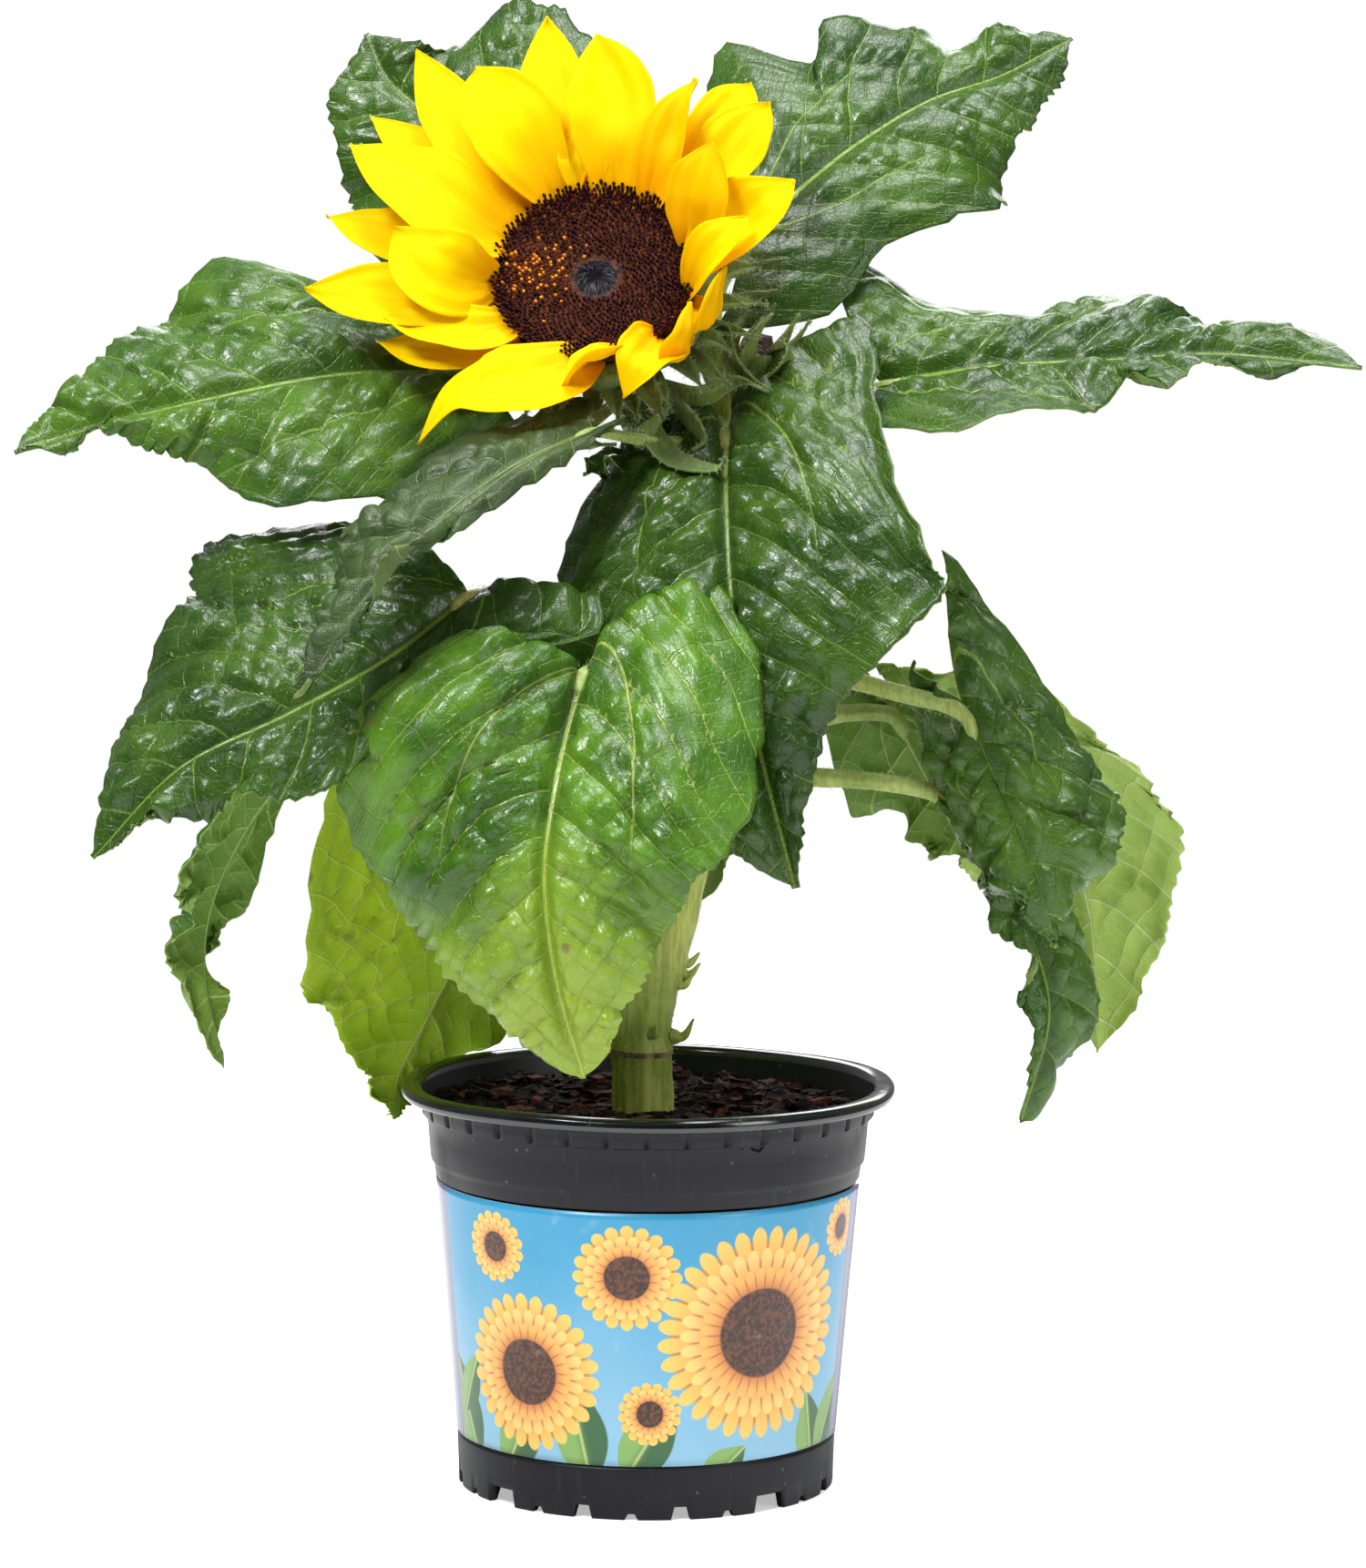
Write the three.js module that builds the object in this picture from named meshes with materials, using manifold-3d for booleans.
// A potted sunflower plant: one stem with one open flower head, large heart-shaped leaves on long
// stalks, and a tapered nursery pot of soil with a wrapped label.
// Millimetres, +Z up. The origin is on the floor at the centre of the pot's underside, and -Y is
// the side that the flower faces.
import * as THREE from "three";
import { mergeVertices } from "three/addons/utils/BufferGeometryUtils.js";
import Module from "manifold-3d";

const wasm = await Module();
wasm.setup();

// ---- Driving dimensions ------------------------------------------------------------------
const GAP = 0.3; // clearance between pieces that meet
const GROWTH = 1.6 * GAP; // how far a cutting shape is grown, corners allowed for

const POT_SIDES = 32;
const POT_FLOOR = 7; // top of the pot's floor
const RIM_RADIUS = 65;
const RIM_TOP = 106.9;
const PAD_RADIUS = 15; // flat boss under the middle of the floor
const NOTCH = { first: -49, turn: 90, deep: 6, arch: 3.4, shallow: 1.6 };

const LABEL = { low: 14.4, high: 81.3, thick: 0.4, from: -112, to: 82 };
const LABEL_SEAT = { lowRadius: 49.5, highRadius: 55.1 };

const SOIL_TOP = 98.8;
const SOIL_SWELL = 1.2; // height of the unevenness of the soil's surface
const STEM_FOOT = 82; // the stem's flat cut, under the soil's surface

const STEM_SIDES = 9;
const STALK_SIDES = 6;
const STALK_RADIUS = 2.6;
const STALK_TAPER = 0.72; // tip radius over root radius

const BLADE = { thick: 1.4, along: 7, across: 4 };
const PETAL = { thick: 0.7, along: 5, across: 2, root: 25.6, neck: 2.6 };

const DISC = { x: -15, y: -8, z: 319, radius: 27, depth: 6, dish: 4.5 };
const FACING = new THREE.Vector3(-0.106, -0.811, 0.575).normalize(); // the way the flower looks

// ---- Materials ---------------------------------------------------------------------------
const finish = (color, roughness) => new THREE.MeshStandardMaterial({ color, roughness });
const looks = {
  pot: () => finish(0x1b1d1f, 0.45),
  label: () => finish(0x6fb4d6, 0.4),
  soil: () => finish(0x2a1a12, 0.95),
  stem: () => finish(0x86a04c, 0.6),
  leaf: () => finish(0x3d6b26, 0.45),
  oldLeaf: () => finish(0x8fae2c, 0.55),
  petal: () => finish(0xffdd00, 0.6),
  disc: () => finish(0x2c1216, 0.9),
  bract: () => finish(0x51702f, 0.7),
};

// ---- Solids ------------------------------------------------------------------------------
function welded(geometry) {
  const bare = geometry.clone();
  bare.deleteAttribute("normal");
  bare.deleteAttribute("uv");
  return mergeVertices(bare, 1e-4);
}

// The same shape with its skin moved out, to cut a clearance into what meets it.
function grown(geometry) {
  const skin = welded(geometry);
  skin.computeVertexNormals();
  const { position, normal } = skin.attributes;
  for (let i = 0; i < position.count; i += 1) {
    const out = new THREE.Vector3().fromBufferAttribute(normal, i).multiplyScalar(GROWTH);
    out.add(new THREE.Vector3().fromBufferAttribute(position, i));
    position.setXYZ(i, out.x, out.y, out.z);
  }
  return skin;
}

function solidFrom(geometry) {
  const merged = welded(geometry);
  return new wasm.Manifold(new wasm.Mesh({
    numProp: 3,
    vertProperties: new Float32Array(merged.attributes.position.array),
    triVerts: new Uint32Array(merged.index.array),
  }));
}

function geometryFrom(solid) {
  const mesh = solid.getMesh();
  const geometry = new THREE.BufferGeometry();
  geometry.setAttribute("position", new THREE.BufferAttribute(mesh.vertProperties, 3));
  geometry.setIndex(new THREE.BufferAttribute(mesh.triVerts, 1));
  return geometry;
}

// The largest body of a solid, for where a cut leaves a crumb.
const largest = (solid) => solid.decompose().reduce((a, b) => (a.volume() > b.volume() ? a : b));

function cutBy(geometry, tools) {
  const cut = tools.reduce((left, tool) => left.subtract(solidFrom(tool)), solidFrom(geometry));
  return geometryFrom(largest(cut));
}

// Moves each vertex of a geometry by a function of its place.
function shaped(geometry, place) {
  const position = geometry.attributes.position;
  const at = new THREE.Vector3();
  for (let i = 0; i < position.count; i += 1) {
    at.fromBufferAttribute(position, i);
    const moved = place(at);
    position.setXYZ(i, moved.x, moved.y, moved.z);
  }
  return geometry;
}

const vectors = (rows) => rows.map(([x, y, z]) => new THREE.Vector3(x, y, z));
const curveThrough = (rows) => new THREE.CatmullRomCurve3(vectors(rows), false, "centripetal");
const mix = THREE.MathUtils.lerp;
const smooth = (x, low, high) => THREE.MathUtils.smoothstep(x, low, high);
const radians = THREE.MathUtils.degToRad;

// A lathe whose profile is given as [radius, height] pairs, standing on +Z.
function turned(profile, sides) {
  const points = profile.map(([r, z]) => new THREE.Vector2(r, z));
  return new THREE.LatheGeometry(points, sides).rotateX(Math.PI / 2);
}

// ---- Frames along a curve ----------------------------------------------------------------
// Carries a first normal along a curve without spin.
function framesAlong(curve, normal, steps) {
  const frames = [];
  let face = normal;
  for (let i = 0; i <= steps; i += 1) {
    const t = i / steps;
    const tangent = curve.getTangent(t);
    face = face.clone().addScaledVector(tangent, -face.dot(tangent)).normalize();
    const side = new THREE.Vector3().crossVectors(face, tangent);
    frames.push({ at: curve.getPoint(t), tangent, face, side });
  }
  return frames;
}

function frameAt(frames, t) {
  const f = THREE.MathUtils.clamp(t, 0, 1) * (frames.length - 1);
  const i = Math.min(Math.floor(f), frames.length - 2);
  const [a, b, k] = [frames[i], frames[i + 1], f - i];
  const out = {};
  for (const key of ["at", "tangent", "face", "side"]) {
    out[key] = a[key].clone().lerp(b[key], k);
  }
  return out;
}

// ---- Limbs -------------------------------------------------------------------------------
// A round limb that tapers along a curve: a tapered lathe bent along it.
function limb(curve, radiusAt, sides, steps) {
  const rings = Array.from({ length: steps + 1 }, (_, i) => [1, i / steps]);
  const lathe = turned([[0, 0], ...rings, [0, 1]], sides);
  const frames = framesAlong(curve, new THREE.Vector3(0.1, -1, 0.05), steps);
  return shaped(lathe, (p) => {
    const { at, face, side } = frameAt(frames, p.z);
    const r = radiusAt(p.z);
    return at.clone().addScaledVector(side, p.x * r).addScaledVector(face, p.y * r);
  });
}

// ---- Leaf blades -------------------------------------------------------------------------
// The flat outline of a blade, heart-shaped at the stalk. Rib u runs from the midrib to the edge:
// the first ribs run back into the two lobes, and the later ones sweep forward.
const RIB_SWEEP = 0.3;
const WIDEST_RIB = 0.16;
const LOBE_WIDTH = 0.5;

function ribEdge(u, back) {
  const forward = smooth(u, 0, 0.25);
  const sweep = RIB_SWEEP * (1 - u) * forward - back * (1 - forward);
  const fromWidest = (u - WIDEST_RIB) / (1 - WIDEST_RIB);
  const width = u < WIDEST_RIB
    ? 1 - LOBE_WIDTH * (1 - u / WIDEST_RIB) ** 2
    : (1 - fromWidest) * (1 + 0.1 * fromWidest);
  return { sweep, width: Math.max(width, 0.03), bow: mix(0.6, 1.4, smooth(u, 0, 0.3)) };
}

// Where a point of the blade lies: u along, v across from -1 to 1, and lift above its middle.
// Each half is folded about the midrib by fold degrees and bends on by curl degrees to its edge.
function bladePlace(leaf, frames, length) {
  return (u, v, lift) => {
    const half = v < 0 ? 0 : 1;
    const edge = ribEdge(u, leaf.back[half]);
    const out = Math.abs(v);
    const along = u + edge.sweep * out ** edge.bow;
    const across = leaf.wide[half] * edge.width * out;
    const frame = frameAt(frames, along);
    const beyond = (along - THREE.MathUtils.clamp(along, 0, 1)) * length;
    const chord = radians(leaf.fold[half] + 0.5 * leaf.curl[half] * out);
    const slope = radians(leaf.fold[half] + leaf.curl[half] * out) * (out > 0 ? 1 : 0);
    const way = v < 0 ? -1 : 1;
    return frame.at.clone()
      .addScaledVector(frame.tangent, beyond)
      .addScaledVector(frame.side, way * (across * Math.cos(chord) - lift * Math.sin(slope)))
      .addScaledVector(frame.face, across * Math.sin(chord) + lift * Math.cos(slope));
  };
}

function bladeGeometry(leaf) {
  const curve = curveThrough(leaf.midrib);
  const frames = framesAlong(curve, new THREE.Vector3(...leaf.face), 24);
  const place = bladePlace(leaf, frames, curve.getLength());
  const slab = new THREE.BoxGeometry(1, 1, 1, BLADE.along, BLADE.across, 1);
  return shaped(slab, (p) => place(p.x + 0.5, p.y * 2, p.z * BLADE.thick));
}

// Each leaf: the stalk's course from the stem to the blade, the midrib's course from there to the
// tip, the way its upper side faces at the stalk, and for its left and right half (looking from
// the stalk to the tip at its upper side) the width, the fold about the midrib and the curl.
const LEAVES = [
  {
    name: "back_top",
    stalk: [[17, 6, 292], [9, 24, 304], [-4, 40, 322], [-16, 46, 328]],
    midrib: [[-16, 46, 328], [-39, 56, 345], [-59, 66, 358], [-73, 74, 369], [-79, 80, 381]],
    face: [-0.2, -0.8, 0.6], wide: [50, 50], fold: [8, 5], curl: [-20, -30],
  },
  {
    name: "top_right",
    stalk: [[19, 7, 284], [16, 22, 300], [17, 32, 314], [26, 34, 328], [34, 30, 337]],
    midrib: [[34, 30, 337], [53, 40, 352], [73, 50, 364], [93, 60, 371], [112, 66, 381]],
    face: [-0.1, -0.85, 0.5], wide: [35, 42], fold: [12, 12], curl: [-35, -35], back: [0.32, 0.16],
  },
  {
    name: "right",
    stalk: [[21, 8, 271], [37, 14, 278], [51, 10, 285], [60, 4, 291]],
    midrib: [[60, 4, 291], [88, 0, 296], [117, -4, 298], [145, -8, 300], [183, -14, 297]],
    face: [-0.1, -0.35, 0.95], wide: [44, 46], fold: [-8, 25], curl: [4, -35],
  },
  {
    name: "centre",
    stalk: [[19, 2, 268], [19, -5, 276], [19, -10, 279]],
    midrib: [[19, -10, 279], [19, -30, 260], [21, -44, 233], [28, -52, 199], [37, -54, 165]],
    face: [0, -0.6, 0.8], wide: [54, 57], fold: [5, 38], curl: [-50, -50],
  },
  {
    name: "left",
    stalk: [[17, 4, 276], [-4, 5, 288], [-28, 3, 294], [-53, 2, 294]],
    midrib: [[-53, 2, 294], [-83, -8, 293], [-115, -16, 287], [-143, -20, 280], [-164, -22, 273]],
    face: [0.1, -0.45, 0.88], wide: [52, 42], fold: [12, -8], curl: [-15, -50],
  },
  {
    name: "front_low",
    stalk: [[12, 0, 200], [1, -24, 212], [-8, -44, 220], [-17, -56, 220]],
    midrib: [[-17, -56, 220], [-23, -74, 196], [-26, -84, 172], [-23, -84, 145], [-16, -76, 119]],
    face: [0, -0.6, 0.8], wide: [58, 53], fold: [18, 28], curl: [-90, -60], back: [0.13, 0.22],
  },
  {
    name: "left_low",
    stalk: [[12, 2, 208], [-8, -14, 224], [-29, -30, 235], [-46, -44, 239]],
    midrib: [[-46, -44, 239], [-66, -56, 224], [-90, -66, 211], [-118, -70, 197], [-140, -70, 174]],
    face: [0, -0.6, 0.8], wide: [67, 38], fold: [10, 0], curl: [-40, -30],
  },
  {
    name: "left_mid",
    stalk: [[18, 1, 280], [8, -14, 279], [-6, -28, 280], [-16, -36, 281]],
    midrib: [[-16, -36, 281], [-35, -56, 273], [-56, -74, 258], [-73, -84, 238], [-88, -88, 216]],
    face: [-0.2, -0.5, 0.8], wide: [32, 15], fold: [0, 0], curl: [-30, -60],
  },
  {
    name: "right_droop",
    stalk: [[17, 4, 224], [35, 0, 217], [50, -7, 211], [65, -14, 209]],
    midrib: [[65, -14, 209], [78, -18, 207], [93, -23, 194], [103, -26, 171], [106, -26, 149]],
    face: [0.2, -0.8, 0.5], wide: [30, 44], fold: [-50, 10], curl: [-30, -50], back: [0.13, 0.4],
  },
  {
    name: "right_narrow",
    stalk: [[11, 3, 186], [30, -2, 188], [44, -5, 188], [61, -7, 187], [76, -8, 185]],
    midrib: [[76, -8, 185], [88, -6, 175], [98, -5, 153], [106, -4, 127], [99, -2, 98]],
    face: [0.8, -0.3, 0.5], wide: [24, 26], fold: [0, 20], curl: [-30, -30],
  },
  {
    name: "right_rear",
    stalk: [[15, 6, 232], [38, 22, 216], [57, 28, 207], [70, 30, 204]],
    midrib: [[70, 30, 204], [90, 38, 199], [107, 48, 178], [119, 56, 145], [122, 58, 106]],
    face: [-0.1, 0.95, 0.3], wide: [50, 38], fold: [0, 0], curl: [-20, -20],
  },
  {
    name: "right_rear_small",
    stalk: [[12, 5, 200], [34, 12, 200], [52, 14, 203], [65, 16, 203]],
    midrib: [[65, 16, 203], [70, 18, 193], [76, 20, 182], [82, 22, 171], [88, 24, 163]],
    face: [0.4, 0.8, 0.4], wide: [28, 28], fold: [0, 0], curl: [-20, -20],
  },
  {
    name: "left_hanging",
    stalk: [[11, 4, 180], [-18, 0, 193], [-51, 0, 200], [-75, 2, 199], [-91, 4, 194]],
    midrib: [[-91, 4, 194], [-107, 8, 173], [-117, 8, 152], [-120, 4, 131], [-113, 0, 111]],
    face: [-0.7, 0.5, 0.4], wide: [22, 22], fold: [0, 0], curl: [-20, -20],
  },
  {
    name: "left_old",
    stalk: [[8, 2, 161], [-8, 6, 178], [-27, 12, 179], [-46, 18, 172]],
    midrib: [[-46, 18, 172], [-49, 28, 143], [-60, 38, 119], [-69, 38, 100], [-69, 32, 90]],
    face: [-0.4, 0.8, 0.4], wide: [26, 50], fold: [0, 0], curl: [-20, -20], look: "oldLeaf",
  },
  {
    name: "back",
    stalk: [[13, 6, 216], [17, 20, 228], [20, 34, 235], [20, 44, 235]],
    midrib: [[20, 44, 235], [18, 66, 222], [16, 80, 196], [14, 86, 168], [13, 84, 142]],
    face: [0, 0.6, 0.8], wide: [42, 42], fold: [8, 8], curl: [-50, -50],
  },
];
const SMALL_LEAF = {
  midrib: [[13, -1, 273], [4, -7, 274], [-4, -9, 273], [-12, -9, 271], [-18, -9, 267]],
  face: [0, -0.6, 0.8], wide: [9, 9], fold: [15, 15], curl: [-20, -20], back: [0, 0],
};
const LEAF_DEFAULTS = { back: [0.13, 0.13], look: "leaf" };

// ---- Assembly ----------------------------------------------------------------------------
// A piece marked to be trimmed is cut back by the grown shapes of the earlier pieces it reaches.
const plant = new THREE.Group();
const built = [];

function reaches(a, b) {
  a.computeBoundingBox();
  b.computeBoundingBox();
  return a.boundingBox.intersectsBox(b.boundingBox);
}

function add(name, geometry, look, trimmed) {
  const near = trimmed ? built.filter((cutter) => reaches(geometry, cutter)) : [];
  const mesh = new THREE.Mesh(cutBy(geometry, near), looks[look]());
  mesh.name = name;
  plant.add(mesh);
  built.push(grown(geometry));
}

// ---- Pot ---------------------------------------------------------------------------------
function potGeometry() {
  const profile = [
    [0, 0], [PAD_RADIUS, 0], [PAD_RADIUS + 1.5, 5], [46, 5], [47.2, 0],
    [49.6, 0], [50, 13.6], [LABEL_SEAT.lowRadius, 14],
    [LABEL_SEAT.highRadius, 81.6], [55.9, 82], [57.2, 87], [58.2, 98.6],
    [59.6, 98.8], [60.2, 103.4], [64.2, 103.4], [RIM_RADIUS, 104.4], [RIM_RADIUS, 105.8],
    [64, RIM_TOP - 0.1], [61, RIM_TOP], [59.7, 106.2],
    [55, 86], [47.8, POT_FLOOR], [0, POT_FLOOR],
  ];
  const cutters = [];
  const cutter = (turn, wide, high) => {
    const box = new THREE.BoxGeometry(wide, 8, 2 * high);
    box.translate(0, -48.4, 0);
    box.rotateZ(radians(turn));
    cutters.push(box);
  };
  for (let k = 0; k < 4; k += 1) {
    const turn = NOTCH.first + k * NOTCH.turn;
    cutter(turn, 9, NOTCH.deep - 1.6);
    cutter(turn + 30, 4, NOTCH.arch);
    cutter(turn + 60, 4, NOTCH.arch);
    for (const step of [15, 45, 75]) cutter(turn + step, 3, NOTCH.shallow);
  }
  return cutBy(turned(profile, POT_SIDES), cutters);
}

// The label is a thin sheet wrapped round the tapered wall.
function labelGeometry() {
  const slab = new THREE.BoxGeometry(1, 1, 1, 24, 1, 1);
  return shaped(slab, (p) => {
    const turn = radians(mix(LABEL.from, LABEL.to, p.x + 0.5));
    const high = p.z + 0.5;
    const seat = mix(LABEL_SEAT.lowRadius, LABEL_SEAT.highRadius, high) + GAP;
    const r = seat + LABEL.thick * (0.5 - p.y);
    return new THREE.Vector3(r * Math.sin(turn), -r * Math.cos(turn), mix(LABEL.low, LABEL.high, high));
  });
}

function soilSurface(x, y) {
  const lumps = Math.sin(x * 0.16 + 1) * Math.cos(y * 0.13) + 0.5 * Math.sin(x * 0.31 - y * 0.27);
  return SOIL_TOP + SOIL_SWELL * 0.5 * lumps - 0.012 * x;
}

function soilGeometry() {
  const profile = [
    [0, POT_FLOOR + GAP], [47.4, POT_FLOOR + GAP], [54.5, 86], [56.9, SOIL_TOP],
    [42, SOIL_TOP], [28, SOIL_TOP], [15, SOIL_TOP], [0, SOIL_TOP],
  ];
  const bed = turned(profile, 20);
  return shaped(bed, (p) => {
    const top = p.z > SOIL_TOP - 0.1;
    return new THREE.Vector3(p.x, p.y, top ? soilSurface(p.x, p.y) : p.z);
  });
}

// ---- Stem --------------------------------------------------------------------------------
const STEM_COURSE = [
  [-1, 0, STEM_FOOT], [-1, 0, 128], [5, 2, 152], [10, 3, 181], [13, 4, 212], [17, 5, 243],
  [19, 6, 271], [20, 6, 287], [15, 8, 300], [4, 9, 307], [-8, 7, 309],
];
const stemRadius = (t) => mix(7.9, 4.6, smooth(t, 0.1, 0.9));
const stemGeometry = () => limb(curveThrough(STEM_COURSE), stemRadius, STEM_SIDES, 14);

function stalkGeometry(leaf) {
  const radius = (t) => STALK_RADIUS * mix(1, STALK_TAPER, t);
  return limb(curveThrough(leaf.stalk), radius, STALK_SIDES, 4);
}

// ---- Flower head -------------------------------------------------------------------------
const discCentre = new THREE.Vector3(DISC.x, DISC.y, DISC.z);
const headTurn = new THREE.Quaternion().setFromUnitVectors(new THREE.Vector3(0, 0, 1), FACING);
const inHead = (geometry) => geometry.applyQuaternion(headTurn).translate(DISC.x, DISC.y, DISC.z);

// The two directions in the plane of the flower: across to the right, and up.
const headRight = new THREE.Vector3(0, 0, 1).cross(FACING).normalize();
const headUp = new THREE.Vector3().crossVectors(FACING, headRight);

const PETALS = [
  { turn: 104, long: 51, wide: 15, lift: 26 },
  { turn: 93, long: 43, wide: 19, lift: 20 },
  { turn: 66, long: 35, wide: 13, lift: 14 },
  { turn: 52, long: 42, wide: 15, lift: 16 },
  { turn: 42, long: 42, wide: 14, lift: 30 },
  { turn: 29, long: 36, wide: 15, lift: 62 },
  { turn: 12, long: 41, wide: 18, lift: 42 },
  { turn: 350, long: 33, wide: 14, lift: 55 },
  { turn: 337, long: 32, wide: 12, lift: 60 },
  { turn: 325, long: 24, wide: 13, lift: 60 },
  { turn: 307, long: 24, wide: 13, lift: 48 },
  { turn: 287, long: 27, wide: 12, lift: 28 },
  { turn: 268, long: 30, wide: 16, lift: 38 },
  { turn: 236, long: 47, wide: 24, lift: 14 },
  { turn: 206, long: 36, wide: 13, lift: 12 },
  { turn: 188, long: 50, wide: 17, lift: 10 },
  { turn: 170, long: 48, wide: 16, lift: 8 },
  { turn: 178, long: 27, wide: 18, lift: 24 },
  { turn: 155, long: 51, wide: 20, lift: 22 },
  { turn: 146, long: 52, wide: 16, lift: 12 },
  { turn: 132, long: 55, wide: 17, lift: 26 },
  { turn: 121, long: 42, wide: 20, lift: 20 },
];

function petalGeometry(petal) {
  const slab = new THREE.BoxGeometry(1, 1, 1, PETAL.along, PETAL.across, 1);
  const turn = radians(petal.turn);
  const out = headRight.clone().multiplyScalar(Math.cos(turn)).addScaledVector(headUp, Math.sin(turn));
  const side = new THREE.Vector3().crossVectors(FACING, out);
  return shaped(slab, (p) => {
    const u = p.x + 0.5;
    const belly = Math.sin(Math.PI * u ** 0.9) ** 0.8;
    const half = Math.max(mix(PETAL.neck, 0.4, u), 0.5 * petal.wide * belly);
    const bend = radians(petal.lift * 1.3 * (1 - 0.45 * u));
    const reach = PETAL.root + petal.long * u * Math.cos(bend);
    const rise = petal.long * u * Math.sin(bend) + p.z * PETAL.thick;
    return discCentre.clone()
      .addScaledVector(out, reach)
      .addScaledVector(side, p.y * 2 * half)
      .addScaledVector(FACING, rise - 1.6 + 0.12 * half * 4 * p.y * p.y);
  });
}

function discGeometry() {
  const top = [];
  for (let i = 3; i >= 0; i -= 1) {
    const r = (DISC.radius - 2.4) * (i / 3);
    top.push([r, -DISC.dish * (1 - (i / 3) ** 2) * 0.6 + 0.8]);
  }
  return inHead(turned([[0, -DISC.depth], [24.6, -DISC.depth], [24.9, -1], ...top], 24));
}

function receptacleGeometry() {
  const profile = [
    [0, -22], [8, -22], [16, -19], [25, -13.5], [30.5, -7.5], [31.5, -4], [31, -2.6],
    [25.3, -2.4], [25.2, -DISC.depth - GAP], [0, -DISC.depth - GAP],
  ];
  return inHead(turned(profile, 16));
}

// A side bud on a short stalk, beside the flower's neck.
function budGeometry() {
  const course = curveThrough([[20, 3, 283], [24, 0, 287], [27, 0, 293], [28, -1, 304]]);
  const radius = (t) => mix(1.8, 6, smooth(t, 0.35, 0.7)) * (1 - 0.6 * smooth(t, 0.75, 1));
  return limb(course, radius, 6, 7);
}

// ---- Build -------------------------------------------------------------------------------
add("stem", stemGeometry(), "stem", false);
add("soil", soilGeometry(), "soil", true);
add("receptacle", receptacleGeometry(), "bract", true);
add("disc", discGeometry(), "disc", false);
add("pot", potGeometry(), "pot", false);
add("label", labelGeometry(), "label", false);
for (const row of LEAVES) {
  const leaf = { ...LEAF_DEFAULTS, ...row };
  add("stalk_" + leaf.name, stalkGeometry(leaf), "stem", true);
  add("leaf_" + leaf.name, bladeGeometry(leaf), leaf.look, true);
}
add("leaf_small", bladeGeometry({ ...LEAF_DEFAULTS, ...SMALL_LEAF }), "leaf", true);
add("bud", budGeometry(), "bract", true);
PETALS.forEach((petal, i) => {
  add("petal_" + String(i + 1).padStart(2, "0"), petalGeometry(petal), "petal", true);
});

export default plant;
